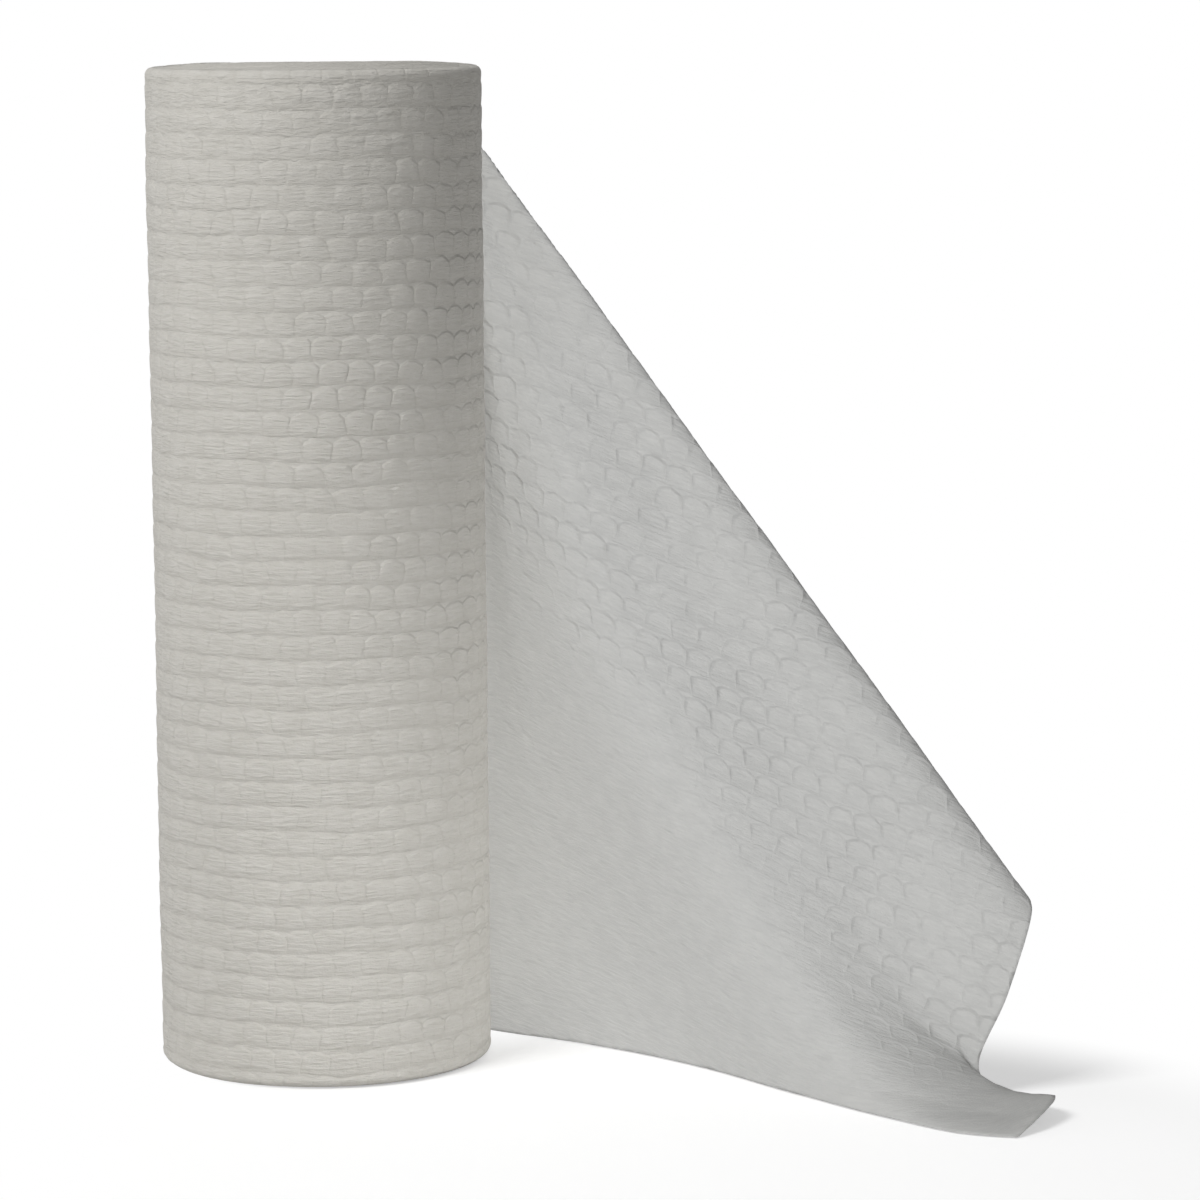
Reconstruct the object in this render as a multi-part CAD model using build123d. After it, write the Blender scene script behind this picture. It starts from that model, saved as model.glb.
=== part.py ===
from build123d import *
import math
import os

# Kitchen cloth roll standing on end: a long strip of embossed cloth wound on a cardboard core.
# The last stretch is unwound. It stands on its lower edge, its upper half is folded over to
# the back along a slanting line, and its end is bent out on the floor as a low foot.
# Millimetres. +Z runs up the roll's axis and z = 0 is the floor that it stands on.

# The wound roll
cloth_width = 250.0
roll_radius = 41.8
cloth_thickness = 0.5
rim_radius = 3.5
row_pitch = 6.08
row_relief = 0.27

# The edges of the turns that show on the two ends
turn_lines = 5
turn_line_depth = 0.5
turn_line_width = 0.7

# The core
core_bore_radius = 20.0
core_wall = 1.0
core_recess = 1.0
winding_gap = 0.05

# The loose end: how much is unwound, and where it leaves the roll
loose_length = 206.0
leave_angle = 50.5
step_at_roll = 0.25
root_arc = 9.0
root_depth = 3.0
root_inset = 1.0
seam_before = 10.5
seam_after = 9.0
seam_step = 0.1
settle_start = 4.0
settle_end = 22.0
inset_end = 26.0

# The loose end's outline. Each row gives a place along it and the point there, in shares of the
# loose length: along the line in which the cloth leaves the roll, out to the back, and up.
# First its lower edge on the floor, with places as shares of the loose length.
lower_edge_shares = [
    (0.0, (0.0, 0.0, 0.0)),
    (0.126, (0.122, -0.002, 0.0)),
    (0.252, (0.248, 0.004, 0.0)),
    (0.447, (0.425, -0.015, 0.0)),
    (0.636, (0.605, -0.065, 0.0)),
    (0.816, (0.771, -0.105, 0.0)),
    (0.922, (0.866, -0.117, 0.0)),
    (1.0, (0.929, -0.098, 0.0)),
]
# Then its cut end, with places as shares of the cloth's width: up and down over the foot, up to
# the fold and down the flap at the back.
cut_end_shares = [
    (0.0, (0.929, -0.098, 0.0)),
    (0.044, (0.931, -0.046, 0.017)),
    (0.088, (0.917, 0.009, 0.025)),
    (0.136, (0.867, 0.043, 0.010)),
    (0.168, (0.824, 0.042, 0.008)),
    (0.2, (0.797, 0.039, 0.029)),
    (0.28, (0.816, 0.067, 0.124)),
    (0.336, (0.825, 0.090, 0.189)),
    (0.368, (0.821, 0.112, 0.222)),
    (0.392, (0.800, 0.130, 0.230)),
    (0.424, (0.764, 0.134, 0.228)),
    (0.472, (0.709, 0.120, 0.224)),
    (0.56, (0.603, 0.115, 0.223)),
    (0.68, (0.461, 0.123, 0.218)),
    (0.832, (0.280, 0.125, 0.210)),
    (1.0, (0.097, 0.112, 0.204)),
]
# Away from the edges the cloth hangs in straight lines that fan out from the top of the line
# where it leaves the roll. These are the points that the lines to the lower edge aim at.
aim_shares = [
    (0.0, (0.0, 0.0, 0.0)),
    (0.126, (0.122, -0.002, 0.0)),
    (0.252, (0.245, 0.002, 0.0)),
    (0.447, (0.420, -0.014, -0.015)),
    (0.636, (0.576, -0.043, -0.053)),
    (0.816, (0.695, -0.042, -0.112)),
    (1.0, (0.792, -0.019, -0.192)),
]
# The first place on the cut end that the lines aim at, and the part of it below the fold
foot_share = 0.2

# How far up the cloth its lower edge and its foot draw it away from the straight lines
edge_fade_share = 0.42
foot_fade_share = 0.184
edge_fade_shares = (0.534, 0.971)
foot_shares = (0.728, 1.0)
foot_height_shares = (0.2, 0.36)
fade_softness_share = 0.12

# The fold is rounded: each straight line is blended with its neighbours on both sides, and the
# fold is lifted by what the blending takes off its height.
fold_softness = 5.0
fold_lift = 3.0
fold_lift_fade_share = 0.75
soft_limit_angle = 22.0
soft_start_angle = 30.0
fold_angle = 53.0
fold_lift_spread = 20.0
fold_lift_length = 30.0

# The upright part swells to the front, widest along one of the straight lines, but not where it
# is close to the roll
swell_share = 0.044
swell_angle = 24.0
swell_spread = 24.0
swell_start = 6.0
swell_end = 42.0

# How many points shape the loose end, along it and across it
points_along = 21
points_across = 25

os.makedirs("parts", exist_ok=True)

# Values worked out from the sizes above
core_radius = core_bore_radius + core_wall
winding_radius = core_radius + winding_gap
groove_radius = roll_radius - row_relief
row_count = round((cloth_width - 2 * rim_radius) / row_pitch)
row_height = (cloth_width - 2 * rim_radius) / row_count
leave_radius = roll_radius + step_at_roll
leave_turn = math.radians(leave_angle)
along = Vector(math.sin(leave_turn), -math.cos(leave_turn))
back = Vector(math.cos(leave_turn), math.sin(leave_turn))
up = Vector(0, 0, 1)
leave_point = back * leave_radius
apex = leave_point + up * cloth_width
height_shares = [row / (points_across - 1) for row in range(points_across)]


def end_face(height, inward):
    """Points across one end of the roll from the core to the rim, with a nick at each turn line."""
    flat_end = groove_radius - rim_radius
    spacing = (flat_end - winding_radius) / turn_lines
    points = [(winding_radius, height)]
    for line in range(turn_lines):
        middle = winding_radius + (line + 1 / 2) * spacing
        points.append((middle - turn_line_width / 2, height))
        points.append((middle, height + inward * turn_line_depth))
        points.append((middle + turn_line_width / 2, height))
    points.append((flat_end, height))
    return points


def rim(flat_end, side_radius, end_height, inward):
    """A soft rim round one end: its face's last point, its middle and the side's first point."""
    lean = math.sqrt(1 / 2)
    out = side_radius - flat_end
    middle = (flat_end + out * lean, end_height + inward * rim_radius * (1 - lean))
    side = (side_radius, end_height + inward * rim_radius)
    return (flat_end, end_height), middle, side


def wound_side(side_radius, rows):
    """The side of the wound part from rim to rim: embossed rows, or one plain line."""
    high = cloth_width - rim_radius
    if not rows:
        return [Line((side_radius, rim_radius), (side_radius, high))]
    side = []
    for row in range(rows):
        foot = rim_radius + row * row_height
        head = foot + row_height
        crest = (roll_radius, foot + row_height / 2)
        side.append(ThreePointArc((side_radius, foot), crest, (side_radius, head)))
    return side


def wound_part(side_radius, rows, start, sweep):
    """A sector of the wound part, swept about the axis by an angle from a start angle."""
    bottom = end_face(0, 1)
    top = end_face(cloth_width, -1)
    low_rim = rim(bottom[-1][0], side_radius, 0, 1)
    high_rim = rim(top[-1][0], side_radius, cloth_width, -1)
    edges = [Polyline(*bottom), ThreePointArc(*low_rim)]
    edges += wound_side(side_radius, rows)
    edges.append(ThreePointArc(*high_rim[::-1]))
    edges += [Polyline(*top[::-1]), Line(top[0], bottom[0])]
    section = make_face([edge for piece in edges for edge in piece.edges()])
    turned = Rot(0, 0, start) * (Plane.XZ * section)
    return revolve(turned, Axis.Z, sweep)


def on_roll(arc):
    """The angle in degrees that an arc on the roll's surface takes."""
    return math.degrees(arc / roll_radius)


def slopes_at(places, points):
    """The slopes of a smooth curve through points at known places."""
    chords = []
    gaps = []
    for index in range(len(places) - 1):
        gaps.append(places[index + 1] - places[index])
        chords.append((points[index + 1] - points[index]) * (1 / gaps[index]))
    slopes = []
    for index in range(1, len(places) - 1):
        before = gaps[index - 1]
        after = gaps[index]
        slope = (chords[index - 1] * after + chords[index] * before) * (1 / (before + after))
        slopes.append(slope)
    first = (chords[0] * 3 - slopes[0]) * (1 / 2)
    last = (chords[-1] * 3 - slopes[-1]) * (1 / 2)
    return [first] + slopes + [last]


class Curve:
    """A smooth curve through points at known places."""

    def __init__(self, places, points):
        self.places = places
        self.points = points
        self.slopes = slopes_at(places, points)

    def at(self, place):
        """The curve's point at a place."""
        span = 0
        while span < len(self.places) - 2 and place > self.places[span + 1]:
            span += 1
        gap = self.places[span + 1] - self.places[span]
        share = min(max((place - self.places[span]) / gap, 0), 1)
        rise = share * share * (3 - 2 * share)
        start = self.points[span] * (1 - rise) + self.points[span + 1] * rise
        out = self.slopes[span] * (gap * share * (1 - share) ** 2)
        back_in = self.slopes[span + 1] * (gap * share * share * (share - 1))
        return start + out + back_in


def in_space(shares):
    """A point of the loose end, from its shares of the loose length."""
    ahead, behind, height = shares
    offset = along * ahead + back * behind + up * height
    return leave_point + offset * loose_length


def curve_of(rows):
    """The curve of a table of places and points."""
    places = [place for place, shares in rows]
    points = [in_space(shares) for place, shares in rows]
    return Curve(places, points)


def fan_of_lines():
    """The directions of the straight lines, by their angle from the leave line on flat cloth."""
    angles = []
    directions = []
    for place, shares in aim_shares:
        run = place * loose_length
        angles.append(math.atan2(run, cloth_width))
        directions.append((in_space(shares) - apex) * (1 / math.hypot(run, cloth_width)))
    for place, shares in cut_end_shares:
        if place >= foot_share:
            drop = (1 - place) * cloth_width
            angles.append(math.atan2(loose_length, drop))
            directions.append((in_space(shares) - apex) * (1 / math.hypot(loose_length, drop)))
    return Curve(angles, directions)


lower_edge = curve_of(lower_edge_shares)
cut_end = curve_of(cut_end_shares)
fan = fan_of_lines()
fold_line = fan.at(math.radians(fold_angle)).normalized()
fold_out = (up - fold_line * up.dot(fold_line)).normalized()


def ramp(start, end, value):
    """A smooth step from 0 at start to 1 at end."""
    share = min(max((value - start) / (end - start), 0), 1)
    return share * share * (3 - 2 * share)


def bump(angle, middle, spread):
    """A smooth rise to 1 at the middle angle, 0 beyond its spread on both sides."""
    return math.cos(min(abs(angle - middle) / spread, 1) * math.pi / 2) ** 2


def on_lines(run, height):
    """The point of the fan of straight lines for one flat point of the cloth."""
    drop = cloth_width - height
    reach = math.hypot(run, drop)
    if reach == 0:
        return apex
    angle = math.atan2(run, drop)
    turn = min(fold_softness / reach, math.radians(soft_limit_angle))
    turn *= ramp(0, math.radians(soft_start_angle), angle)
    direction = (fan.at(angle - turn) + fan.at(angle) * 2 + fan.at(angle + turn)) * (1 / 4)
    lift = fold_lift * bump(math.degrees(angle), fold_angle, fold_lift_spread)
    lift *= min(reach / fold_lift_length, 1)
    lift *= 1 - fold_lift_fade_share * reach / math.hypot(loose_length, cloth_width)
    return apex + direction * reach + fold_out * lift


def edge_pull(run, height):
    """How much of the lower edge's offset from the straight lines is left at this height."""
    along_share = run / loose_length
    narrowing = ramp(*edge_fade_shares, along_share)
    reach_share = edge_fade_share + (foot_fade_share - edge_fade_share) * narrowing
    left = 1 - height / (reach_share * cloth_width)
    at_edge = 1 + math.hypot(1, fade_softness_share)
    return (left + math.hypot(left, fade_softness_share)) / at_edge


def cloth_point(run, height):
    """The loose end in space, run mm from the roll and height mm up the flat cloth."""
    along_share = run / loose_length
    drop = cloth_width - height
    edge_offset = lower_edge.at(along_share) - on_lines(run, 0)
    corner_offset = lower_edge.at(1) - on_lines(loose_length, 0)
    at_end = on_lines(loose_length, height) + corner_offset * edge_pull(loose_length, height)
    end_offset = cut_end.at(height / cloth_width) - at_end
    foot = ramp(*foot_shares, along_share)
    foot = foot * (1 - ramp(*foot_height_shares, height / cloth_width))
    lobe = bump(math.degrees(math.atan2(run, drop)), swell_angle, swell_spread)
    reach = max(along_share, drop / cloth_width)
    swell = swell_share * loose_length * lobe * 4 * reach * (1 - reach)
    swell *= ramp(swell_start, swell_end, run)
    point = on_lines(run, height) + edge_offset * edge_pull(run, height)
    point += end_offset * foot - back * swell
    upright = leave_point + along * run + up * height
    settled = ramp(settle_start, settle_end, run)
    return upright * (1 - settled) + point * settled


def wound_line(arc):
    """Points across the cloth where it is still on the roll, arc mm before it leaves."""
    turn = leave_turn + arc / leave_radius
    outward = Vector(math.cos(turn), math.sin(turn))
    foot = outward * (leave_radius - root_depth * (arc / root_arc) ** 2)
    tall = cloth_width - 2 * root_inset
    return [foot + up * (root_inset + share * tall) for share in height_shares]


def loose_line(run):
    """Points across the loose end, run mm from the roll."""
    inset = root_inset * (1 - ramp(seam_after, inset_end, run))
    points = []
    for share in height_shares:
        points.append(cloth_point(run, share * cloth_width) + up * (inset * (1 - 2 * share)))
    return points


def smooth_face(rows):
    """A smooth face through rows of evenly spread points."""
    lines = [Wire([Edge.make_spline(row, parameters=height_shares)]) for row in rows]
    return Shell.make_loft(lines).face()


def edge_between(face, start, end):
    """The edge of a face that joins two of its corners."""

    def miss(edge):
        first = edge.position_at(0)
        last = edge.position_at(1)
        forward = (first - start).length + (last - end).length
        backward = (first - end).length + (last - start).length
        return min(forward, backward)

    return min(face.edges(), key=miss)


def loose_end():
    """The unwound stretch: two smooth faces one cloth thickness apart, joined along their edges."""
    outer_rows = [wound_line(root_arc), wound_line(root_arc / 2)]
    for row in range(points_along):
        outer_rows.append(loose_line(loose_length * row / (points_along - 1)))
    outer = smooth_face(outer_rows)
    inner_rows = []
    for row in outer_rows:
        inner_row = []
        for point in row:
            under = point - outer.normal_at(point) * cloth_thickness
            inner_row.append(Vector(under.X, under.Y, max(under.Z, 0)))
        inner_rows.append(inner_row)
    inner = smooth_face(inner_rows)
    faces = [outer, inner]
    for corner in range(4):
        ends = []
        for rows in (outer_rows, inner_rows):
            corners = [rows[0][0], rows[0][-1], rows[-1][-1], rows[-1][0]]
            ends.append((corners[corner - 1], corners[corner]))
        faces.append(
            Face.make_surface_from_curves(
                edge_between(outer, *ends[0]), edge_between(inner, *ends[1])
            )
        )
    return Solid(Shell(faces))


def wound_cloth():
    """The cloth as one piece: wound part, a plain sector where the end leaves, and loose end."""
    seam_start = leave_angle - on_roll(seam_after)
    seam_sweep = on_roll(seam_before + seam_after)
    seam = wound_part(roll_radius + seam_step, 0, seam_start, seam_sweep)
    embossed_start = seam_start + seam_sweep
    embossed = wound_part(groove_radius, row_count, embossed_start, 360 - seam_sweep)
    return (seam + loose_end()) + embossed


def cardboard_core():
    """The tube that the cloth is wound on."""
    tube = Cylinder(core_radius, cloth_width - 2 * core_recess)
    bore = Cylinder(core_bore_radius, cloth_width)
    return Pos(0, 0, cloth_width / 2) * (tube - bore)


export_step(wound_cloth(), "parts/cloth.step")
export_step(cardboard_core(), "parts/cardboard_core.step")
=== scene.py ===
import math

import bpy
import numpy as np
from mathutils import Matrix


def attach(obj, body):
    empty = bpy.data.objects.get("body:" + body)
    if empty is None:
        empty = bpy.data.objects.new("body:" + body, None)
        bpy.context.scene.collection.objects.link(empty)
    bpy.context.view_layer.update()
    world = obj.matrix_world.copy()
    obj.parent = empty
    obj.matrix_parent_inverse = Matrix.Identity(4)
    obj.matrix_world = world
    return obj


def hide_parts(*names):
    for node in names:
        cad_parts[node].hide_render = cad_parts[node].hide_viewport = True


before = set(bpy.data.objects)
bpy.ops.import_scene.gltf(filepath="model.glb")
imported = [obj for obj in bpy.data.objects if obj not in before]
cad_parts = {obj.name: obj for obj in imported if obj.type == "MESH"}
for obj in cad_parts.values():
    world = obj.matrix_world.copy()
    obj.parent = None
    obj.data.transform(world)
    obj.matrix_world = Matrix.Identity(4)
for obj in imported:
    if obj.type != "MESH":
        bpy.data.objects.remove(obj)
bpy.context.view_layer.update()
scene = bpy.context.scene

# The object, in millimetres. Its axis is upright, at x and y of 0.
MM = 0.001
TINY = 1e-9  # keeps a division from being by zero
WIDTH = 250.0  # of the strip of cloth, and so the roll's height
THICK = 0.5  # of the cloth, with its embossing
RADIUS = 41.8  # mean radius of the outer turn's outer side
RIM = 2.0  # rounding between the roll's side and its ends
CORE = 21.0  # radius at which the winding starts
LOOSE = 206.0  # length of the loose end
LEAVE = math.radians(50.5)  # angle round the axis at which the loose end leaves the roll
ALONG = np.array([math.sin(LEAVE), -math.cos(LEAVE), 0.0])
BACK = np.array([math.cos(LEAVE), math.sin(LEAVE), 0.0])
UP = np.array([0.0, 0.0, 1.0])

# Camera at the photo's angle: directions without a unit, its place in metres, its lens in mm
CAMERA_RIGHT = (0.99817, -0.06042, -0.00705)
CAMERA_ABOVE = (0.01517, 0.13488, 0.99077)
CAMERA_BACKWARD = (-0.05891, -0.98902, 0.13554)
CAMERA_PLACE = (0.0, -1.1821, 0.277)
SENSOR_WIDTH, LENS = 36.0, 141.65
CLIP_START, CLIP_END = 0.05, 20.0


def placement(x_axis, y_axis, z_axis, place):
    """The matrix of an object with these axes at this place."""
    rows = [[x_axis[k], y_axis[k], z_axis[k], place[k]] for k in range(3)]
    return Matrix(rows + [[0, 0, 0, 1]])


def add_camera():
    cam = bpy.data.objects.new("camera", bpy.data.cameras.new("camera"))
    scene.collection.objects.link(cam)
    cam.matrix_world = placement(CAMERA_RIGHT, CAMERA_ABOVE, CAMERA_BACKWARD, CAMERA_PLACE)
    cam.data.sensor_width = SENSOR_WIDTH
    cam.data.lens = LENS
    cam.data.clip_start = CLIP_START
    cam.data.clip_end = CLIP_END
    scene.camera = cam


add_camera()


# Node trees
def node(tree, kind, **values):
    """A new node, with its options and inputs set by name."""
    return adjusted(tree.nodes.new(kind), **values)


def adjusted(n, **values):
    """The node with its own options set by name, or else its inputs of that name."""
    for key, value in values.items():
        if hasattr(n, key):
            setattr(n, key, value)
        else:
            n.inputs[key.replace("_", " ")].default_value = value
    return n


def feed(tree, target, source):
    """Set an input to a plain value, or link it to another node's output."""
    if hasattr(source, "is_output"):
        tree.links.new(source, target)
    else:
        target.default_value = source


def maths(tree, operation, *terms):
    n = node(tree, "ShaderNodeMath", operation=operation)
    for k, term in enumerate(terms):
        feed(tree, n.inputs[k], term)
    return n.outputs[0]


def scaled(tree, source, scale):
    n = node(tree, "ShaderNodeVectorMath", operation="MULTIPLY")
    feed(tree, n.inputs[0], source)
    feed(tree, n.inputs[1], scale)
    return n.outputs[0]


def mixed(tree, share, first, second):
    """A shader that goes from first to second as share goes from 0 to 1."""
    n = node(tree, "ShaderNodeMixShader")
    for k, source in enumerate((share, first, second)):
        feed(tree, n.inputs[k], source)
    return n.outputs[0]


def noise(tree, source, scale, detail, roughness):
    n = node(tree, "ShaderNodeTexNoise", Scale=1.0, Detail=detail, Roughness=roughness)
    feed(tree, n.inputs["Vector"], scaled(tree, source, scale))
    return Value(tree, n.outputs[0])


class Value:
    """A number in a material's node tree, for formulas that also work on arrays."""

    def __init__(self, tree, socket):
        self.tree, self.socket = tree, socket

    def apply(self, operation, *others):
        terms = [x.socket if isinstance(x, Value) else x for x in (self, *others)]
        return Value(self.tree, maths(self.tree, operation, *terms))

    def __add__(self, other):
        return self.apply("ADD", other)

    def __sub__(self, other):
        return self.apply("SUBTRACT", other)

    def __rsub__(self, other):
        return self * -1.0 + other

    def __mul__(self, other):
        return self.apply("MULTIPLY", other)

    def __truediv__(self, other):
        return self.apply("DIVIDE", other)

    __radd__, __rmul__ = __add__, __mul__


# Formulas for arrays. All but hump also take values of a node tree.
def sine(x):
    return x.apply("SINE") if isinstance(x, Value) else np.sin(x)


def whole(x):
    return x.apply("FLOOR") if isinstance(x, Value) else np.floor(x)


def clamped(x):
    if isinstance(x, Value):
        return x.apply("MAXIMUM", 0.0).apply("MINIMUM", 1.0)
    return np.clip(x, 0, 1)


def lesser(x, y, soft):
    """The smaller of two values, blended where they are within soft of each other."""
    if isinstance(x, Value):
        return x.apply("SMOOTH_MIN", y, soft)
    h = clamped((soft - np.abs(x - y)) / soft)
    return np.minimum(x, y) - h**3 * soft / 6


def step(start, end, x):
    """A smooth step from 0 where x is start to 1 where it is end."""
    t = clamped((x - start) / (end - start))
    return t * t * (t * -2.0 + 3.0)


def between(low, high, share):
    """From low where share is 0 to high where it is 1."""
    return share * (high - low) + low


def hump(x, middle, spread):
    """1 where x is middle, falling smoothly to 0 at spread to either side."""
    return np.cos(clamped(np.abs(x - middle) / spread) * math.pi / 2) ** 2


class Noise:
    """Smooth noise from -1 to 1 over a plane, with features about one unit wide."""

    def __init__(self, seed, size=96):
        self.grid = np.random.default_rng(seed).uniform(-1, 1, (size, size))
        self.size = size

    def __call__(self, x, y):
        i, j = np.floor(x).astype(int), np.floor(y).astype(int)
        a, b = step(0, 1, x - i), step(0, 1, y - j)
        g, n = self.grid, self.size
        low = g[i % n, j % n] * (1 - a) + g[(i + 1) % n, j % n] * a
        high = g[i % n, (j + 1) % n] * (1 - a) + g[(i + 1) % n, (j + 1) % n] * a
        return low * (1 - b) + high * b


lumps, waves = Noise(14), Noise(15)

# The embossed pillows, in millimetres
FIRST_ROW = 3.5  # height at which the rows start
ROW_PITCH = 6.08
PILLOW_LENGTH = 7.0
ROW_SHIFT_SHARE = 0.13  # of a pillow's length, by which the rows are set unevenly
ROW_SHIFT_TURN = 2.4  # angle by which that goes on from row to row
ARCH_SHARE = 0.2  # of a row's height, by which a pillow's upper edge drops at its sides
TOP_SLOPE = 1.7
FOOT_SLOPE, FOOT_HEIGHT = 0.4, 0.8
SIDE_HEIGHT = 0.9
SIDES_BLEND, FOOT_BLEND, CORNER_BLEND = 0.5, 0.6, 1.0
MEAN_HEIGHT = 0.6  # of the pillows, as a share of their full height
MODELLED_EDGE = 2.2  # width over which a pillow rises where it is in the geometry

# Waves that bend the rows and shift the pillows. A wave is how much its angle grows for each
# millimetre along and up the cloth, and its angle at the start.
ROW_WAVES = (
    (0.4, (0.13, 0.021, 0.7), (-0.023, 0.11, 0.0)),
    (0.2, (0.41, 0.31, 2.0), (0.093, 0.0, 1.3)),
)
PILLOW_WAVES = (
    (0.9, (0.05, 0.12, 0.0)),
    (0.3, (0.61, 0.83, 0.0)),
)


def wave(s, z, turns):
    """The height from -1 to 1 of a wave at a flat place on the cloth."""
    along, up, start = turns
    return sine(s * along + z * up + start)


def pillows(s, z, edge):
    """Height from 0 to 1 of the embossed pillows at a flat place on the cloth, in millimetres.

    They stand in rows, each half a pillow along from the row below, with a rounded upper edge.
    The height rises over the width called edge. Slow waves bend the rows a little.
    """
    row_place, pillow_place = z, s
    for amount, first, second in ROW_WAVES:
        row_place = row_place + amount * wave(s, z, first) * wave(s, z, second)
    for amount, only in PILLOW_WAVES:
        pillow_place = pillow_place + amount * wave(s, z, only)
    rows_up = (row_place - FIRST_ROW) / ROW_PITCH
    row = whole(rows_up)
    up = rows_up - row
    half = row * 0.5
    shift = half - whole(half) + ROW_SHIFT_SHARE * sine(row * ROW_SHIFT_TURN)
    pillows_along = pillow_place / PILLOW_LENGTH + shift
    along = pillows_along - whole(pillows_along)
    off_middle = along * 2.0 - 1.0
    below_top = (1.0 - off_middle * off_middle * ARCH_SHARE - up) * ROW_PITCH
    above_foot = up * (FOOT_SLOPE * ROW_PITCH) + FOOT_HEIGHT
    from_left, from_right = along * PILLOW_LENGTH, (1.0 - along) * PILLOW_LENGTH
    from_sides = lesser(from_left, from_right, SIDES_BLEND) + SIDE_HEIGHT
    inside = lesser(below_top * TOP_SLOPE, above_foot, FOOT_BLEND)
    return step(0.0, edge, lesser(inside, from_sides, CORNER_BLEND))


# Meshes
def mesh_object(name, points, faces, uv, smooth=True):
    """A mesh from points in millimetres, with one uv per point in metres."""
    mesh = bpy.data.meshes.new(name)
    mesh.from_pydata((points * MM).tolist(), [], faces.tolist())
    layer = mesh.uv_layers.new(name="flat")
    loops = np.empty(len(mesh.loops), dtype=np.int64)
    mesh.loops.foreach_get("vertex_index", loops)
    layer.data.foreach_set("uv", uv[loops].astype(np.float32).ravel())
    if smooth:
        mesh.polygons.foreach_set("use_smooth", np.ones(len(mesh.polygons), dtype=bool))
    mesh.update()
    obj = bpy.data.objects.new(name, mesh)
    scene.collection.objects.link(obj)
    return obj


def grid_faces(rows, columns):
    """Quads of a grid of points."""
    i = np.arange(rows - 1)[:, None] * columns
    j = np.arange(columns - 1)[None, :]
    corners = [i + j, i + j + 1, i + columns + j + 1, i + columns + j]
    return np.stack([c.ravel() for c in corners], axis=1)


def flat_places(along, up):
    """A uv for each point of a grid, from its flat place in millimetres."""
    return np.stack([along * MM, up * MM], axis=-1).reshape(-1, 2)


def on_cylinder(radius, angle, height):
    return np.stack([radius * np.cos(angle), radius * np.sin(angle), height], axis=-1)


# The roll's side, in millimetres. Flat places along it are negative, from 0 where the loose
# end leaves.
SIDE_COLUMNS, SIDE_ROWS = 326, 300
SIDE_RELIEF = 0.22
SIDE_LUMP_HEIGHT, SIDE_LUMP_LENGTH, SIDE_LUMP_RISE = 0.22, 26, 20
RIM_RELIEF_SHARE = 0.35  # of the relief that is left at the inner edge of a rim
RIM_LIFT_SHARE = 0.5  # of the relief, by which it stands up on a rim
CREASE_HEIGHT, CREASE_WIDTH = 0.32, 0.8
CREASE_WANDER, CREASE_WANDER_LENGTH = 0.7, 4
CREASES = [
    ((-148.5, 244.0), (-169.6, 242.8)),
    ((-140.4, 193.3), (-148.0, 196.8)),
    ((-118.5, 185.5), (-134.6, 184.0)),
    ((-172.0, 231.0), (-186.0, 233.5)),
    ((-60.0, 171.0), (-78.0, 174.0)),
    ((-20.0, 96.0), (-31.0, 99.0)),
]


def crease(s, z, start, end):
    """A fine fold of the outer turn between two flat places, fading out at its ends."""
    ds, dz = end[0] - start[0], end[1] - start[1]
    length = math.hypot(ds, dz)
    t = ((s - start[0]) * ds + (z - start[1]) * dz) / length**2
    off = ((z - start[1]) * ds - (s - start[0]) * dz) / length
    off = off + CREASE_WANDER * waves(s / CREASE_WANDER_LENGTH, z / CREASE_WANDER_LENGTH)
    return np.exp(-((off / CREASE_WIDTH) ** 2)) * np.sin(clamped(t) * math.pi)


def wound_side():
    """The side from rim to rim. It is one cloth thickness further out where the cloth leaves."""
    upright, rim_length = WIDTH - 2 * RIM, math.pi / 2 * RIM
    path = np.linspace(0, upright + 2 * rim_length, SIDE_ROWS)
    low = clamped(path / rim_length) * math.pi / 2
    high = clamped((path - rim_length - upright) / rim_length) * math.pi / 2
    inset = RIM * (1 - np.sin(low)) + RIM * (1 - np.cos(high))
    height = RIM * (1 - np.cos(low)) + np.clip(path - rim_length, 0, upright)
    height = height + RIM * np.sin(high)
    outwards = (np.cos(high) * np.sin(low))[:, None]
    upwards = (np.sin(high) - np.cos(low))[:, None]
    turn, z = np.meshgrid(np.linspace(0, 2 * math.pi, SIDE_COLUMNS), height)
    s = -turn * RADIUS
    relief = SIDE_RELIEF * (pillows(s, z, MODELLED_EDGE) - MEAN_HEIGHT)
    relief = relief + SIDE_LUMP_HEIGHT * lumps(s / SIDE_LUMP_LENGTH, z / SIDE_LUMP_RISE)
    for start, end in CREASES:
        relief = relief + CREASE_HEIGHT * crease(s, z, start, end)
    relief = relief * between(RIM_RELIEF_SHARE, 1, outwards)
    smooth_radius = RADIUS + THICK / 2 - THICK * turn / (2 * math.pi) - inset[:, None]
    points = on_cylinder(
        smooth_radius + relief * outwards, LEAVE + turn, z + relief * upwards * RIM_LIFT_SHARE
    )
    faces = grid_faces(SIDE_ROWS, SIDE_COLUMNS)
    return mesh_object("wound_cloth", points.reshape(-1, 3), faces, flat_places(s, z))


side = wound_side()

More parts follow.
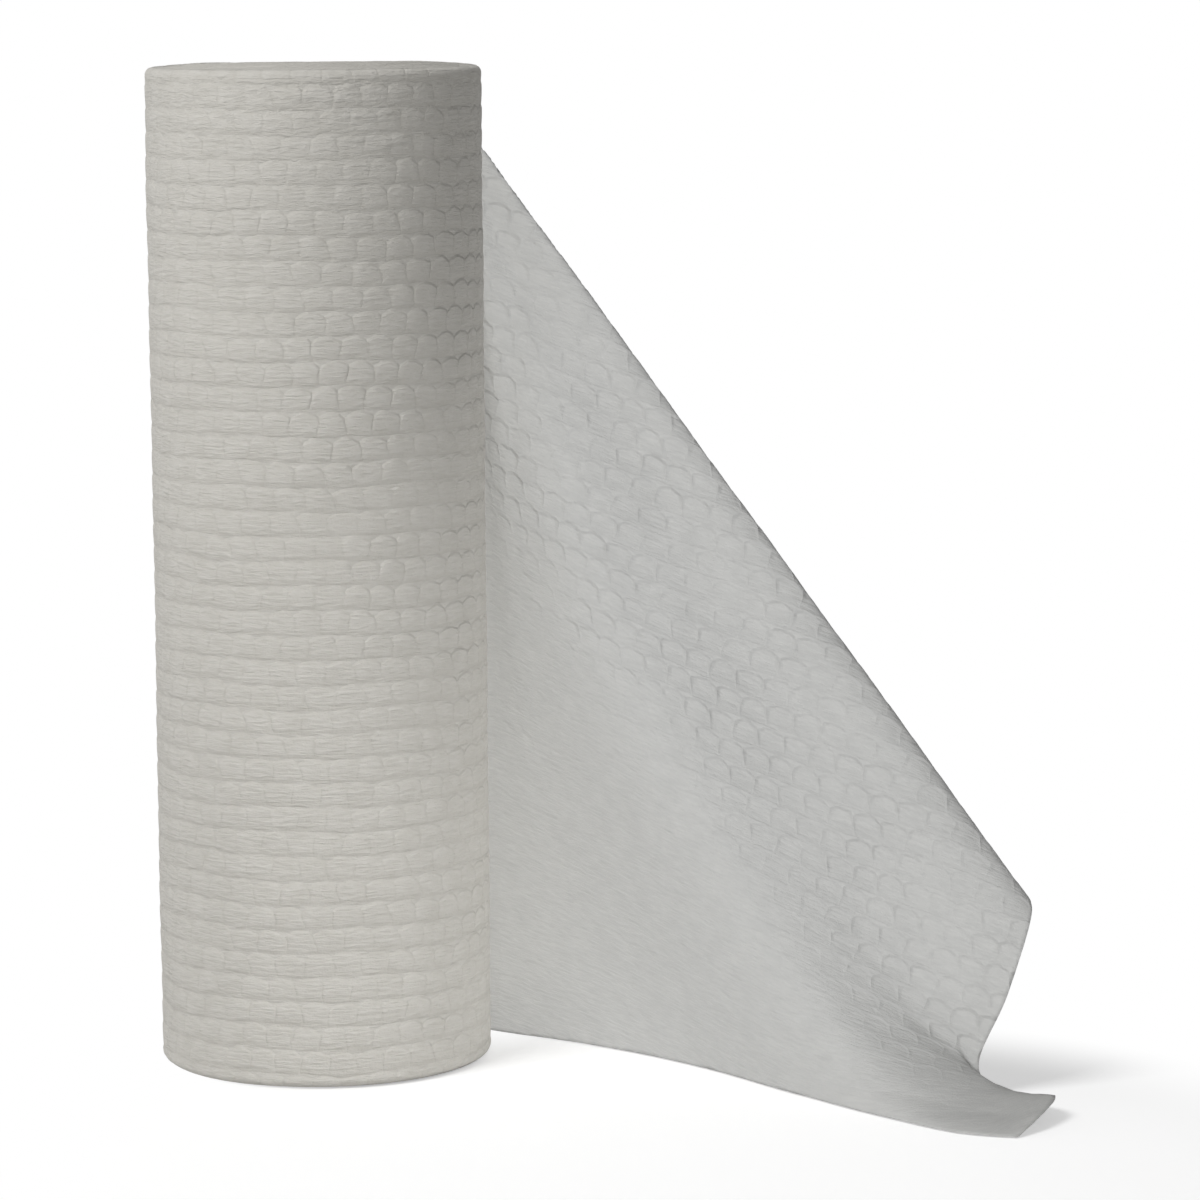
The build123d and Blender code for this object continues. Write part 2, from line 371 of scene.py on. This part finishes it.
# The edges of the turns on the roll's ends: heights and widths in millimetres, noise in steps
# for each turn and each radian round the axis
POINTS_PER_TURN, POINTS_AROUND = 4, 281
UNDER_RIM = 0.35  # how far they go in under the side's rim
CREST_RELIEF, CREST_MEAN, CREST_POWER = 0.22, 0.6, 0.6
TURN_STEP, STEPS_PER_TURN, STEPS_AROUND = 0.22, 0.7, 5
TURN_LUMP, TURN_LUMP_WIDTH, LUMPS_AROUND = 0.3, 5, 2.2
EVEN_BY_CORE = 1.5  # width beside the core over which the turns become uneven
HIGHEST = 0.28  # that an edge stands out
EVEN_BY_RIM = (0.2, 3.0)  # distance from the rim over which the relief sets in
SUNK = 0.05  # of all the edges, to stay below the rim
INNER_RISE, INNER_RISE_TO_FRONT = 0.8, 0.55  # of the inner turns on the upper end
INNER_RISE_SHARE = 0.7  # of the way from the rim to the core over which they rise
SKIRT = 2.0  # how far the innermost edge goes down beside the core
BOTTOM_CLEARANCE = 0.32  # from the floor to the turns on the lower end


def turn_edges(name, end, facing):
    """The edges of the turns on one end, each standing out by its own small amount."""
    flat_radius = RADIUS - RIM
    outermost = flat_radius + UNDER_RIM
    turns = int((flat_radius - CORE) / THICK)
    radii = np.linspace(CORE, outermost, turns * POINTS_PER_TURN)
    around = np.linspace(0, 2 * math.pi, POINTS_AROUND)
    r, t = np.meshgrid(radii, around, indexing="ij")
    spiral = (r - CORE) / THICK - t / (2 * math.pi)
    crest = np.abs(np.sin(math.pi * spiral)) ** CREST_POWER
    uneven = TURN_STEP * waves(np.floor(spiral) * STEPS_PER_TURN, t * STEPS_AROUND)
    uneven = uneven + TURN_LUMP * lumps(r / TURN_LUMP_WIDTH, t * LUMPS_AROUND)
    out = CREST_RELIEF * (crest - CREST_MEAN) + uneven * step(0, EVEN_BY_CORE, r - CORE)
    out = np.minimum(out, HIGHEST) * step(*EVEN_BY_RIM, outermost - r) - SUNK
    if facing > 0:
        inwards = step(0, INNER_RISE_SHARE, (flat_radius - r) / (flat_radius - CORE))
        out = out + inwards * (INNER_RISE - INNER_RISE_TO_FRONT * np.sin(t + LEAVE))
    out[0] = -SKIRT
    points = on_cylinder(r, t + LEAVE, end + facing * out)
    faces = grid_faces(len(radii), len(around))
    if facing > 0:
        faces = faces[:, ::-1]
    return mesh_object(name, points.reshape(-1, 3), faces, flat_places(spiral * THICK, t * r))


top_edges = turn_edges("turn_edges_top", WIDTH, 1)
bottom_edges = turn_edges("turn_edges_bottom", BOTTOM_CLEARANCE, -1)


# The loose end
class Curve:
    """A smooth curve through rows of points at known places."""

    def __init__(self, places, points):
        self.x = np.array(places, float)
        self.p = np.array(points, float)
        gap = np.diff(self.x)
        chord = np.diff(self.p, axis=0) / gap[:, None]
        mid = chord[:-1] * gap[1:, None] + chord[1:] * gap[:-1, None]
        mid = mid / (gap[:-1] + gap[1:])[:, None]
        first = (chord[0] * 3 - mid[0]) / 2
        last = (chord[-1] * 3 - mid[-1]) / 2
        self.m = np.vstack([first, mid, last])

    def __call__(self, place):
        place = np.asarray(place, float)
        k = np.clip(np.searchsorted(self.x, place, side="left") - 1, 0, len(self.x) - 2)
        gap = self.x[k + 1] - self.x[k]
        t = clamped((place - self.x[k]) / gap)
        share = step(0, 1, t)[..., None]
        out = (gap * t * (1 - t) ** 2)[..., None] * self.m[k]
        back_in = (gap * t * t * (t - 1))[..., None] * self.m[k + 1]
        return self.p[k] * (1 - share) + self.p[k + 1] * share + out + back_in


# Outlines of the loose end: a share of its length or of the strip's width, then the place
# along, back and up from its lower corner, in shares of its length. The aim is where the lines
# that fan out from its upper corner meet its lower edge before that is pulled into place.
LOWER_EDGE_SHARES = [
    (0.0, (0.0, 0.0, 0.0)),
    (0.126, (0.122, -0.002, 0.0)),
    (0.252, (0.248, 0.004, 0.0)),
    (0.447, (0.425, -0.015, 0.0)),
    (0.636, (0.605, -0.065, 0.0)),
    (0.816, (0.771, -0.105, 0.0)),
    (0.922, (0.866, -0.117, 0.0)),
    (1.0, (0.929, -0.098, 0.0)),
]
CUT_END_SHARES = [
    (0.0, (0.929, -0.098, 0.0)),
    (0.044, (0.931, -0.046, 0.017)),
    (0.088, (0.917, 0.009, 0.025)),
    (0.136, (0.867, 0.043, 0.010)),
    (0.168, (0.824, 0.042, 0.008)),
    (0.2, (0.797, 0.039, 0.029)),
    (0.28, (0.816, 0.067, 0.124)),
    (0.336, (0.825, 0.090, 0.189)),
    (0.368, (0.821, 0.112, 0.222)),
    (0.392, (0.800, 0.130, 0.230)),
    (0.424, (0.764, 0.134, 0.228)),
    (0.472, (0.709, 0.120, 0.224)),
    (0.56, (0.603, 0.115, 0.223)),
    (0.68, (0.461, 0.123, 0.218)),
    (0.832, (0.280, 0.125, 0.210)),
    (1.0, (0.097, 0.112, 0.204)),
]
AIM_SHARES = [
    (0.0, (0.0, 0.0, 0.0)),
    (0.126, (0.122, -0.002, 0.0)),
    (0.252, (0.245, 0.002, 0.0)),
    (0.447, (0.420, -0.014, -0.015)),
    (0.636, (0.576, -0.043, -0.053)),
    (0.816, (0.695, -0.042, -0.112)),
    (1.0, (0.792, -0.019, -0.192)),
]
LOWER_CORNER = BACK * (RADIUS + THICK / 2)  # where the lower edge leaves the roll
UPPER_CORNER = LOWER_CORNER + UP * WIDTH  # from which the loose end fans out
FOOT_TOP_SHARES = (0.2, 0.36)  # of the cut end, over which the bent-out foot ends
FOOT_START_SHARE = 0.728  # of the length, from which the foot is bent out
NARROWING_SHARES = (0.534, 0.971)  # of the length, over which the pull of the lower edge narrows
PULL_SHARES = (0.42, 0.184)  # of the width, how far that pull reaches before and after
PULL_BLEND = 0.12
FOLD_ANGLE, FOLD_SPREAD = 53, 20  # degrees from the upright at the upper corner
FOLD_HEIGHT, FOLD_START, FOLD_FADE_SHARE = 3.0, 30, 0.75
# Each line of the fan is averaged with those beside it: by this much in millimetres, by this
# angle at most, and in full from this angle on.
BLUR, BLUR_LIMIT, BLUR_FROM = 5.0, math.radians(22), math.radians(30)
SWELL_SHARE, SWELL_ANGLE, SWELL_START = 0.044, 24, (6, 42)
SETTLED = (4, 22)  # distance from the roll over which the fan takes over from a plain wall


def placed(shares):
    along, back, up = shares
    return LOWER_CORNER + (ALONG * along + BACK * back + UP * up) * LOOSE


def outline(rows):
    return Curve([place for place, shares in rows], [placed(shares) for place, shares in rows])


lower_edge = outline(LOWER_EDGE_SHARES)
cut_end = outline(CUT_END_SHARES)
fan_rows = [(p * LOOSE, WIDTH, placed(q)) for p, q in AIM_SHARES]
for p, q in CUT_END_SHARES:
    if p >= FOOT_TOP_SHARES[0]:
        fan_rows.append((LOOSE, (1 - p) * WIDTH, placed(q)))
fan = Curve(
    [math.atan2(x, y) for x, y, q in fan_rows],
    [(q - UPPER_CORNER) / math.hypot(x, y) for x, y, q in fan_rows],
)
fold_line = fan(math.radians(FOLD_ANGLE))
fold_line = fold_line / np.linalg.norm(fold_line)
fold_out = UP - fold_line * fold_line[2]
fold_out = fold_out / np.linalg.norm(fold_out)


def fan_angle(u, v):
    """Degrees from the upright at the upper corner to a flat place."""
    return np.degrees(np.arctan2(u, WIDTH - v))


def on_lines(u, v):
    """Where flat places come on the straight lines that fan out from the upper corner."""
    drop = WIDTH - v
    reach = np.hypot(u, drop)
    angle = np.arctan2(u, drop)
    blur = np.minimum(BLUR / np.maximum(reach, TINY), BLUR_LIMIT)
    blur = blur * step(0, BLUR_FROM, angle)
    way = (fan(angle - blur) + 2 * fan(angle) + fan(angle + blur)) / 4
    raised = FOLD_HEIGHT * hump(fan_angle(u, v), FOLD_ANGLE, FOLD_SPREAD)
    raised = raised * np.minimum(reach / FOLD_START, 1)
    raised = raised * (1 - FOLD_FADE_SHARE * reach / math.hypot(LOOSE, WIDTH))
    return UPPER_CORNER + way * reach[..., None] + fold_out * raised[..., None]


def edge_pull(u, v):
    """How far a flat place follows the lower edge, from 1 at the edge towards 0 above it."""
    reach = between(*PULL_SHARES, step(*NARROWING_SHARES, u / LOOSE)) * WIDTH
    left = 1 - v / reach
    return (left + np.hypot(left, PULL_BLEND)) / (1 + math.hypot(1, PULL_BLEND))


def loose_surface(u, v):
    """The loose end's middle surface over flat places u along the cloth and v up it."""
    floor_level, cut = np.zeros_like(u), np.full_like(u, LOOSE)
    share = clamped(u / LOOSE)
    edge = lower_edge(share) - on_lines(u, floor_level)
    corner = lower_edge(np.ones_like(u)) - on_lines(cut, floor_level)
    at_end = on_lines(cut, v) + corner * edge_pull(cut, v)[..., None]
    end = cut_end(v / WIDTH) - at_end
    foot = step(FOOT_START_SHARE, 1.0, share) * (1 - step(*FOOT_TOP_SHARES, v / WIDTH))
    lobe = hump(fan_angle(u, v), SWELL_ANGLE, SWELL_ANGLE)
    reach = np.maximum(share, (WIDTH - v) / WIDTH)
    swell = SWELL_SHARE * LOOSE * lobe * 4 * reach * (1 - reach) * step(*SWELL_START, u)
    p = on_lines(u, v) + edge * edge_pull(u, v)[..., None]
    p = p + end * foot[..., None] - BACK * swell[..., None]
    wall = LOWER_CORNER + ALONG * u[..., None] + UP * v[..., None]
    return between(wall, p, step(*SETTLED, u)[..., None])


def normals(p):
    """Unit normals of a grid of points, towards the roll's outer side of the cloth."""
    n = np.cross(np.gradient(p, axis=0), np.gradient(p, axis=1))
    return n / np.maximum(np.linalg.norm(n, axis=-1), TINY)[..., None]


def softened(grid, passes):
    """The grid of points after each has moved towards its neighbours a number of times."""
    for _ in range(passes):
        mean = grid.copy()
        mean[1:-1] = (grid[:-2] + 2 * grid[1:-1] + grid[2:]) / 4
        across = mean.copy()
        across[:, 1:-1] = (mean[:, :-2] + 2 * mean[:, 1:-1] + mean[:, 2:]) / 4
        grid = across
    return grid


# The loose sheet's mesh, in millimetres
POINTS_ALONG, POINTS_UP = 196, 228
TUCKED = 8  # columns of points, and millimetres, that lie on the roll
TUCK_DEPTH = 0.7  # how far the tucked edge goes in under the roll's side
SOFTENING_PASSES = 420
SOFT_FROM_ROLL, SOFT_TO_FOLD = (18, 40), (40, 50)  # mm, and degrees at the upper corner
SOFT_FROM_FLOOR, SOFT_FROM_CUT = (0, 12), (0, 10)
RELIEF_START = (0, 14)
SHEET_LUMP, SHEET_LUMP_LENGTH, SHEET_LUMP_RISE, LUMPS_SHIFT = 0.25, 31, 27, 9
SHEET_RELIEF = 0.13
HALF_THICK_SHARE = 0.45  # of the cloth, from its middle to either side
LOWEST_MIDDLE, LOWEST_SIDE = 0.05, 0.02  # above the floor


def length_so_far(points):
    """Distance walked to each point along the first direction of a grid."""
    steps = np.linalg.norm(np.diff(points, axis=0), axis=-1)
    return np.vstack([np.zeros((1, points.shape[1])), np.cumsum(steps, axis=0)])


def grid_border(rows, columns):
    """The points round the border of a grid, in order."""
    last_row = (rows - 1) * columns
    return np.concatenate(
        [
            np.arange(columns),
            np.arange(1, rows) * columns + columns - 1,
            last_row + np.arange(columns - 2, -1, -1),
            np.arange(rows - 2, 0, -1) * columns,
        ]
    )


def sheet_middle(u, v):
    """The middle surface with its first columns on the roll, smoothed in front of the fold."""
    past_leave = np.minimum(u, 0)
    dip = RADIUS + THICK / 2 - TUCK_DEPTH * (past_leave / TUCKED) ** 2
    tucked = on_cylinder(dip, LEAVE - past_leave / RADIUS, v)
    p = np.where((u < 0)[..., None], tucked, loose_surface(np.maximum(u, 0), v))
    soft = step(*SOFT_FROM_ROLL, u) * (1 - step(*SOFT_TO_FOLD, fan_angle(np.maximum(u, 0), v)))
    soft = soft * step(*SOFT_FROM_FLOOR, v) * step(*SOFT_FROM_CUT, LOOSE - u)
    return between(p, softened(p, SOFTENING_PASSES), soft[..., None])


def loose_sheet():
    """The sheet's mesh, and how many of its faces are on its inner side, which come first."""
    on_roll = np.linspace(-TUCKED, -1, TUCKED)
    u_line = np.concatenate([on_roll, np.linspace(0, LOOSE, POINTS_ALONG - TUCKED)])
    u, v = np.meshgrid(u_line, np.linspace(0, WIDTH, POINTS_UP), indexing="ij")
    p = sheet_middle(u, v)
    flat_u = length_so_far(p)
    flat_u = flat_u - flat_u[TUCKED]
    flat_v = WIDTH - length_so_far(np.swapaxes(p, 0, 1)[::-1])[::-1].T
    ease = step(*RELIEF_START, u)
    lump = lumps(u / SHEET_LUMP_LENGTH + LUMPS_SHIFT, v / SHEET_LUMP_RISE)
    relief = SHEET_LUMP * lump * step(*SOFT_FROM_FLOOR, v)
    relief = relief + SHEET_RELIEF * (pillows(flat_u, flat_v, MODELLED_EDGE) - MEAN_HEIGHT)
    p = p + normals(p) * (relief * ease)[..., None]
    p[..., 2] = np.where(ease > 0, np.maximum(p[..., 2], LOWEST_MIDDLE), p[..., 2])
    outwards = normals(p) * THICK * HALF_THICK_SHARE
    sides = np.stack([p - outwards, p + outwards])
    sides[..., 2] = np.maximum(sides[..., 2], LOWEST_SIDE)
    inner_faces = grid_faces(*u.shape)
    border = grid_border(*u.shape)
    following = np.roll(border, -1)
    rim = np.stack([border, following, following + u.size, border + u.size], axis=1)
    flat = flat_places(flat_u, flat_v)
    obj = mesh_object(
        "loose_sheet",
        sides.reshape(-1, 3),
        np.concatenate([inner_faces[:, ::-1], inner_faces + u.size, rim]),
        np.concatenate([flat, flat]),
    )
    return obj, len(inner_faces)


sheet, inner_count = loose_sheet()

# The core: a tube with square ends, in millimetres
CORE_BORE = 20.0
CORE_CLEARANCE = 0.03  # between it and the winding
CORE_OUTSIDE = CORE - CORE_CLEARANCE
CORE_INSET = 1.0  # of its ends, from the roll's
CORE_SIDES = 128


def core_tube():
    bottom, top = CORE_INSET, WIDTH - CORE_INSET
    section = [(CORE_BORE, bottom), (CORE_BORE, top), (CORE_OUTSIDE, top), (CORE_OUTSIDE, bottom)]
    around = np.linspace(0, 2 * math.pi, CORE_SIDES, endpoint=False)
    points = np.concatenate([on_cylinder(r, around, np.full(CORE_SIDES, h)) for r, h in section])
    uv = np.concatenate([flat_places(around * r, np.full(CORE_SIDES, h)) for r, h in section])
    faces = []
    for k in range(len(section)):
        here, there = k * CORE_SIDES, (k + 1) % len(section) * CORE_SIDES
        for j in range(CORE_SIDES):
            n = (j + 1) % CORE_SIDES
            faces.append((here + j, here + n, there + n, there + j))
    return mesh_object("core_tube", points, np.array(faces), uv, smooth=False)


core = core_tube()


# Materials
def material(name):
    mat = bpy.data.materials.new(name)
    mat.use_nodes = True
    tree = mat.node_tree
    tree.nodes.clear()
    out = node(tree, "ShaderNodeOutputMaterial")
    shader = node(tree, "ShaderNodeBsdfPrincipled")
    feed(tree, out.inputs["Surface"], shader.outputs[0])
    return mat, tree, shader, out


def surface(tree, shader, tones, share, height, strength, distance):
    """Give a shader a colour between two tones, from dark to light, and a bump."""
    dark, light = tones
    tone = node(tree, "ShaderNodeMix", data_type="RGBA", A=(*dark, 1), B=(*light, 1))
    feed(tree, tone.inputs["Factor"], share.socket)
    feed(tree, shader.inputs["Base Color"], tone.outputs["Result"])
    relief = node(tree, "ShaderNodeBump", Strength=strength, Distance=distance)
    feed(tree, relief.inputs["Height"], height.socket)
    feed(tree, shader.inputs["Normal"], relief.outputs[0])


# Noise in the cloth: features per metre along and up it, detail and roughness
CREPE = ((230.0, 1250.0, 1.0), 3.0, 0.6)
FIBRES = ((2100.0, 2700.0, 1.0), 3.0, 0.7)
BLOTCHES = ((140.0, 170.0, 1.0), 4.0, 0.6)
PATCHES = ((33.0, 37.0, 1.0), 2.0, 0.5)
WOBBLE = ((420.0, 420.0, 1.0), 2.0, 0.5)
CRUMPLE = ((120.0, 300.0, 1.0), 3.0, 0.6)

# Places of changes in the bump and in the painted shade, in millimetres
NEAR_TOP = (200.0, 245.0)  # height on the roll
FOLD_SIDE, FOLD_SIDE_SLANT = (145.0, 205.0), 0.8  # height plus a share of the place along
CALM_CORNER, CALM_CORNER_SLANT = (-130.0, -80.0), 0.9  # height less a share of the same

# What parts of the bump are multiplied by: low on the roll and near its top, away from the fold
# and beside it, inside the calm corner and outside it; the painted shade between patches and on
# them
ROW_WOBBLE, CRUMPLE_STRENGTH, TOP_DEPTH = (0.8, 2.0), (0.4, 2.0), (1.0, 0.65)
FOLD_DEPTH = (0.25, 1.25)
CALM_DEPTH, CALM_LINES = (0.1, 1.0), (0.3, 1.0)
PATCHY_SLOPE_SHADE = (0.25, 0.75)

# How strongly each kind of noise goes into the patches, the bump and the tone, and how dark the
# painted shade on the pillows' rising slopes is
PATCH_CONTRAST, PATCH_LEVEL = 2.2, 0.6
FIBRE_HEIGHT, BLOTCH_HEIGHT = 0.3, 0.7
CREPE_TONE, BLOTCH_TONE, SLOPE_SHADE_TONE, TONE_LEVEL = 1.2, 0.8, 0.9, 0.5
CLOTH_BUMP = 0.00042  # metres

# The two looks of the cloth: its dark and its light tone, the width over which a pillow rises,
# the pillows' depth between patches and on them, and the share of light that comes through
ROLL_LOOK = (((0.62, 0.60, 0.55), (0.72, 0.70, 0.655)), 1.5, (0.35, 1.45), 0.0)
LOOSE_LOOK = (((0.635, 0.637, 0.625), (0.73, 0.73, 0.715)), 2.2, (0.6, 1.3), 0.2)


def cloth_material(name, look, facing, depth, lines):
    """Soft nonwoven cloth with embossed pillows, fine lines across it and matted fibres, and
    painted shade on the slopes where the pillows rise.

    facing is 1 on the side where the pillows stand out and -1 on the other.
    """
    tones, edge, depths, through = look
    mat, tree, shader, out = material(name)
    flat_uv = node(tree, "ShaderNodeUVMap", uv_map="flat").outputs[0]
    crepe, fibres, blotches, patches, wobble, crumple = (
        noise(tree, flat_uv, *kind)
        for kind in (CREPE, FIBRES, BLOTCHES, PATCHES, WOBBLE, CRUMPLE)
    )
    parts = node(tree, "ShaderNodeSeparateXYZ")
    feed(tree, parts.inputs[0], scaled(tree, flat_uv, (1 / MM, 1 / MM, 1.0)))
    s, z = Value(tree, parts.outputs[0]), Value(tree, parts.outputs[1])
    near_top = 0.0 if through else step(*NEAR_TOP, z)
    z = z + (wobble - 0.5) * between(*ROW_WOBBLE, near_top)
    high = pillows(s, z, edge)
    uneven = step(0.0, 1.0, patches * PATCH_CONTRAST - PATCH_LEVEL)
    deep = between(*depths, uneven) * (depth * facing)
    fine = crepe * lines
    # painted shade: darkest halfway up each pillow's rising slope, where the relief's own shade
    # falls
    painted_slope_shade = high * (1.0 - high)
    if through:
        fold_side = step(*FOLD_SIDE, s * FOLD_SIDE_SLANT + z)
        calm = step(*CALM_CORNER, z - s * CALM_CORNER_SLANT)
        deep = deep * between(*FOLD_DEPTH, fold_side) * between(*CALM_DEPTH, calm)
        fine = fine * between(*CALM_LINES, calm)
        # painted shade on the loose end: weaker between patches, and only towards the fold and
        # outside the calm corner
        painted_slope_shade = painted_slope_shade * between(*PATCHY_SLOPE_SHADE, uneven) * fold_side * calm
    else:
        deep = deep * between(*TOP_DEPTH, near_top)
    height = high * deep + fine + fibres * FIBRE_HEIGHT + blotches * BLOTCH_HEIGHT
    height = height + crumple * between(*CRUMPLE_STRENGTH, near_top)
    # the tone is darkened by the painted shade on the pillows' slopes
    tone = crepe * CREPE_TONE + blotches * BLOTCH_TONE - painted_slope_shade * SLOPE_SHADE_TONE - TONE_LEVEL
    surface(tree, shader, tones, step(0.0, 1.0, tone), height, 1.0, CLOTH_BUMP)
    adjusted(shader, Roughness=0.92, Specular_IOR_Level=0.2)
    adjusted(shader, Sheen_Weight=0.12, Sheen_Roughness=0.6)
    if through:
        glow = node(tree, "ShaderNodeBsdfTranslucent", Color=(*tones[1], 1))
        blend = mixed(tree, through, shader.outputs[0], glow.outputs[0])
        feed(tree, out.inputs["Surface"], blend)
    return mat


CARDBOARD_TONES = ((0.30, 0.20, 0.12), (0.42, 0.30, 0.19))
CARDBOARD_GRAIN = ((500.0, 900.0, 1.0), 5.0, 0.7)
CARDBOARD_BUMP = 0.0002  # metres


def cardboard():
    mat, tree, shader, _ = material("cardboard")
    flat_uv = node(tree, "ShaderNodeUVMap", uv_map="flat").outputs[0]
    grain = noise(tree, flat_uv, *CARDBOARD_GRAIN)
    surface(tree, shader, CARDBOARD_TONES, grain, grain, 0.5, CARDBOARD_BUMP)
    adjusted(shader, Roughness=0.8)
    return mat


cloth_mat = cloth_material("cloth_on_roll", ROLL_LOOK, facing=1, depth=0.8, lines=1.1)
edge_mat = cloth_material("cloth_edges", ROLL_LOOK, facing=1, depth=0.0, lines=0.6)
loose_mats = [
    cloth_material("loose_inner", LOOSE_LOOK, facing=-1, depth=1.1, lines=0.8),
    cloth_material("loose_outer", LOOSE_LOOK, facing=1, depth=1.1, lines=0.8),
]
for obj, mats in (
    (side, [cloth_mat]),
    (top_edges, [edge_mat]),
    (bottom_edges, [edge_mat]),
    (sheet, loose_mats),
    (core, [cardboard()]),
):
    for mat in mats:
        obj.data.materials.append(mat)
    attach(obj, "root")
face_side = np.zeros(len(sheet.data.polygons), dtype=np.int32)
face_side[inner_count:] = 1
sheet.data.polygons.foreach_set("material_index", face_side)
for obj in (side, top_edges, bottom_edges, sheet):
    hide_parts("cloth")
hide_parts("cardboard_core")

# Floor and background, in metres
FLOOR_SIZE, FLOOR_DROP = 12, 0.0003
FLOOR_TONE = (0.8, 0.8, 0.8)
FLOOR_GLOW = 0.45
FADE_CENTRE, FADE_START, FADE_END = (0.09, -0.13, 0.0), 0.12, 0.165
SKY_AT_HORIZON, SKY_ABOVE = 0.28, 0.24
WHITE = (1, 1, 1, 1)


def direct_ray(tree):
    """1 for what the camera sees, also in a mirror or through glass."""
    paths = node(tree, "ShaderNodeLightPath")
    seen = maths(tree, "MAXIMUM", paths.outputs["Is Camera Ray"], paths.outputs["Is Glossy Ray"])
    return maths(tree, "MAXIMUM", seen, paths.outputs["Is Transmission Ray"])


def floor_material():
    """A pale floor that takes shadows and, for direct rays, fades to plain white further out."""
    mat, tree, shader, out = material("floor")
    adjusted(shader, Base_Color=(*FLOOR_TONE, 1), Roughness=1.0, Specular_IOR_Level=0.0)
    looked_at = direct_ray(tree)
    glow = node(tree, "ShaderNodeEmission")
    feed(tree, glow.inputs["Strength"], maths(tree, "MULTIPLY", looked_at, FLOOR_GLOW))
    both = node(tree, "ShaderNodeAddShader")
    feed(tree, both.inputs[0], shader.outputs[0])
    feed(tree, both.inputs[1], glow.outputs[0])
    span = node(tree, "ShaderNodeVectorMath", operation="DISTANCE")
    feed(tree, span.inputs[0], node(tree, "ShaderNodeNewGeometry").outputs["Position"])
    feed(tree, span.inputs[1], FADE_CENTRE)
    far = node(tree, "ShaderNodeMapRange", interpolation_type="SMOOTHSTEP")
    adjusted(far, From_Min=FADE_START, From_Max=FADE_END)
    feed(tree, far.inputs["Value"], span.outputs["Value"])
    share = maths(tree, "MULTIPLY", far.outputs[0], looked_at)
    plain = node(tree, "ShaderNodeEmission", Strength=1.0)
    feed(tree, out.inputs["Surface"], mixed(tree, share, both.outputs[0], plain.outputs[0]))
    return mat


def add_world():
    """A soft sky for the light, and plain white for direct rays."""
    world = bpy.data.worlds.new("world")
    scene.world = world
    world.use_nodes = True
    tree = world.node_tree
    tree.nodes.clear()
    out = node(tree, "ShaderNodeOutputWorld")
    heading = node(tree, "ShaderNodeSeparateXYZ")
    feed(tree, heading.inputs[0], node(tree, "ShaderNodeTexCoord").outputs["Generated"])
    dimmer = node(tree, "ShaderNodeMapRange", To_Min=SKY_AT_HORIZON, To_Max=SKY_ABOVE)
    feed(tree, dimmer.inputs["Value"], heading.outputs["Z"])
    sky = node(tree, "ShaderNodeBackground", Color=WHITE)
    feed(tree, sky.inputs["Strength"], dimmer.outputs[0])
    white = node(tree, "ShaderNodeBackground", Color=WHITE, Strength=1.0)
    backdrop = mixed(tree, direct_ray(tree), sky.outputs[0], white.outputs[0])
    feed(tree, out.inputs["Surface"], backdrop)


bpy.ops.mesh.primitive_plane_add(size=FLOOR_SIZE, location=(0, 0, -FLOOR_DROP))
floor = bpy.context.object
floor.name = "floor"
floor.data.materials.append(floor_material())
add_world()


# Lights, in metres and watts
def collected(name, pieces):
    collection = bpy.data.collections.new(name)
    for piece in pieces:
        collection.objects.link(piece)
    return collection


def area_light(name, place, target, size, power, pieces, blockers=(), spread=180.0):
    """A square light on some pieces. Where blockers are given, only they cast its shadows."""
    lamp = bpy.data.lights.new(name, "AREA")
    lamp.shape = "SQUARE"
    lamp.size = size
    lamp.energy = power
    lamp.spread = math.radians(spread)
    obj = bpy.data.objects.new(name, lamp)
    scene.collection.objects.link(obj)
    away = np.array(place) - np.array(target)
    away = away / np.linalg.norm(away)
    sideways = np.cross(UP, away)
    sideways = sideways / np.linalg.norm(sideways)
    obj.matrix_world = placement(sideways, np.cross(away, sideways), away, place)
    obj.visible_camera = False
    obj.light_linking.receiver_collection = collected(name + "_lights", pieces)
    if blockers:
        obj.light_linking.blocker_collection = collected(name + "_shaded_by", blockers)


roll_pieces = (side, top_edges, bottom_edges, core)
area_light(
    "main",
    place=(-1.15, -1.1, 1.6),
    target=(0.03, 0.0, 0.12),
    size=0.8,
    power=27.0,
    pieces=(*roll_pieces, floor),
)
area_light(
    "sheet_main",
    place=(-0.5, -1.45, 0.5),
    target=(0.09, -0.05, 0.1),
    size=0.6,
    power=15.4,
    pieces=(sheet,),
    blockers=(sheet,),
)
area_light(
    "low_fill",
    place=(0.3, -0.3, 0.2),
    target=(0.04, 0.0, 0.0),
    size=0.1,
    power=0.065,
    pieces=roll_pieces,
    blockers=(side,),
    spread=55.0,
)

scene.view_settings.view_transform = "Standard"
